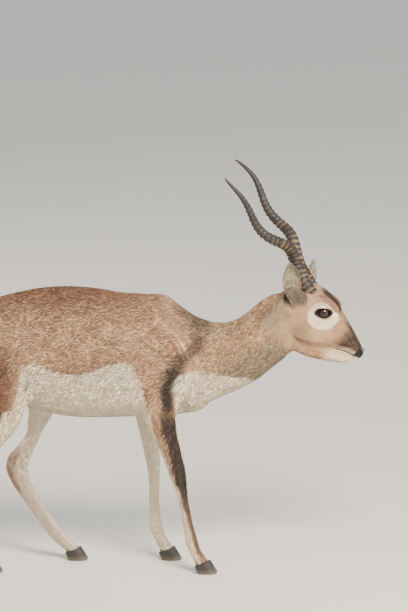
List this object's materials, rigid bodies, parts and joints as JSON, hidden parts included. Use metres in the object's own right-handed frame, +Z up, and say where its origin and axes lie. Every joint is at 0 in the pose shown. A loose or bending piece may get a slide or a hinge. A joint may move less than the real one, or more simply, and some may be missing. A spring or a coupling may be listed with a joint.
{
  "type": "blackbuck",
  "caption": "Still life-size model of a young male blackbuck with ringed corkscrew horns, standing on its four feet.",
  "frame": {"origin": "on the floor, at the middle of the model's box", "axes": "+X towards the nose, +Y to the animal's left, +Z up"},
  "size_m": [1.0716, 0.2432, 1.0399],
  "materials": {
    "coat": "short dense coat",
    "horn": "ringed horn",
    "hoof": "dull horn",
    "eye": "wet gloss"
  },
  "bodies": {
    "root": {"torso": "coat", "neck": "coat", "head": "coat", "ear_right": "coat", "ear_left": "coat", "eye_right": "eye", "eye_left": "eye", "horn_right": "horn", "horn_left": "horn", "tail": "coat", "foreleg_right_upper": "coat", "foreleg_right_lower": "coat", "foreleg_left_upper": "coat", "foreleg_left_lower": "coat", "hindleg_right_thigh": "coat", "hindleg_right_gaskin": "coat", "hindleg_right_lower": "coat", "hindleg_left_thigh": "coat", "hindleg_left_gaskin": "coat", "hindleg_left_lower": "coat", "foreleg_right_outer_hoof": "hoof", "foreleg_right_inner_hoof": "hoof", "foreleg_left_outer_hoof": "hoof", "foreleg_left_inner_hoof": "hoof", "hindleg_right_outer_hoof": "hoof", "hindleg_right_inner_hoof": "hoof", "hindleg_left_outer_hoof": "hoof", "hindleg_left_inner_hoof": "hoof"}
  },
  "joints": []
}
